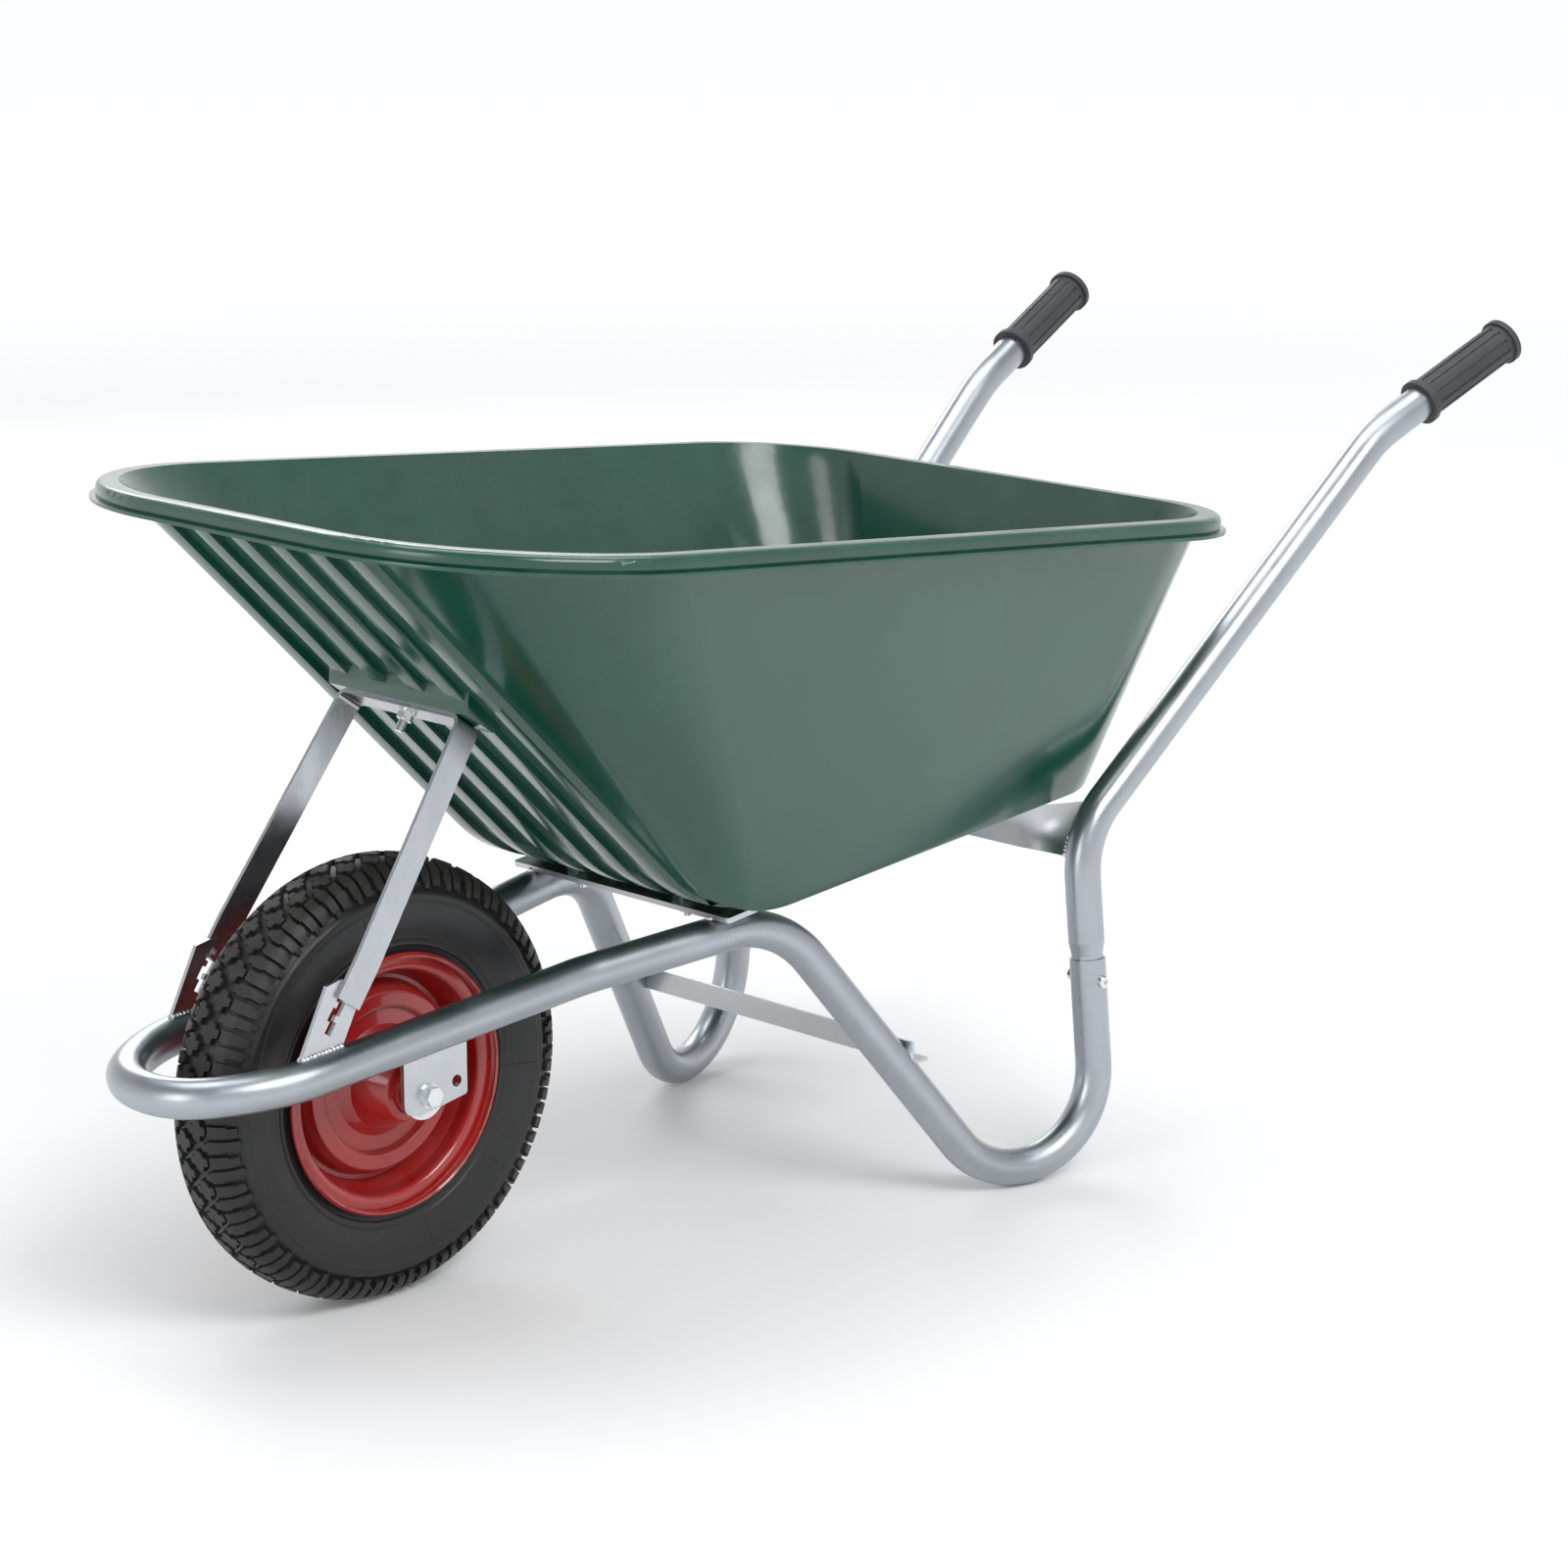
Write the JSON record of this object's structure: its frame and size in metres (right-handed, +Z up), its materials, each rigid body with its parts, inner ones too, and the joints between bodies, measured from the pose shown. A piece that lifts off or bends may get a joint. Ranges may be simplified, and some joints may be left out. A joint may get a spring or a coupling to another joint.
{
  "type": "wheelbarrow",
  "caption": "Wheelbarrow with a deep moulded tray on a bent steel tube frame, slip-on leg and handle tubes, ribbed grips and an air-filled wheel that turns on a bolt between two plates.",
  "frame": {"origin": "on the ground, under the middle of the overall bounding box", "axes": "+X forward towards the wheel, +Y to the left of a person pushing, +Z up"},
  "size_m": [1.5441, 0.6702, 0.7707],
  "materials": {
    "galvanised_steel": "galvanised, satin with faint spangle",
    "galvanised_strip": "galvanised strip, satin",
    "zinc_fastener": "bright zinc",
    "bearing_steel": "ground steel",
    "grip_rubber": "matt, finely grained",
    "tray_plastic": "satin moulded",
    "rim_paint": "gloss red",
    "collar_plastic": "satin",
    "tyre": "dusty tread, smoother sides",
    "tube_rubber": "matt"
  },
  "bodies": {
    "frame": {"front_loop": "galvanised_steel", "leg_tube_left": "galvanised_steel", "leg_tube_right": "galvanised_steel", "handle_tube_left": "galvanised_steel", "handle_tube_right": "galvanised_steel", "grip_left": "grip_rubber", "grip_right": "grip_rubber", "tray": "tray_plastic", "front_cross_plate": "galvanised_steel", "rear_cross_plate": "galvanised_steel", "leg_brace": "galvanised_steel", "lug_plate_left": "galvanised_steel", "lug_plate_right": "galvanised_steel", "tray_strut": "galvanised_strip", "axle_bracket_left": "galvanised_steel", "axle_bracket_right": "galvanised_steel", "axle_bolt": "zinc_fastener", "axle_nut": "zinc_fastener", "axle_washer_left": "zinc_fastener", "axle_washer_right": "zinc_fastener", "axle_sleeve": "bearing_steel", "hub_collar_left": "zinc_fastener", "hub_collar_right": "zinc_fastener", "tray_bolts": "zinc_fastener", "tray_nuts": "zinc_fastener", "tray_washers": "zinc_fastener", "strut_bolt": "zinc_fastener", "strut_washer": "zinc_fastener", "strut_nut": "zinc_fastener", "joint_screw_left": "zinc_fastener", "joint_screw_right": "zinc_fastener"},
    "wheel": {"hub_tube": "rim_paint", "bearing_left": "bearing_steel", "bearing_right": "bearing_steel", "rim_left": "rim_paint", "rim_right": "rim_paint", "tyre": "tyre", "inner_tube": "tube_rubber", "valve_stem": "tube_rubber", "valve_cap": "collar_plastic"}
  },
  "joints": [
    {"name": "wheel_spin", "type": "hinge", "parent": "frame", "child": "wheel", "pos_m": [0.514, 0, 0.2], "axis": [0, 1, 0], "continuous": true}
  ]
}
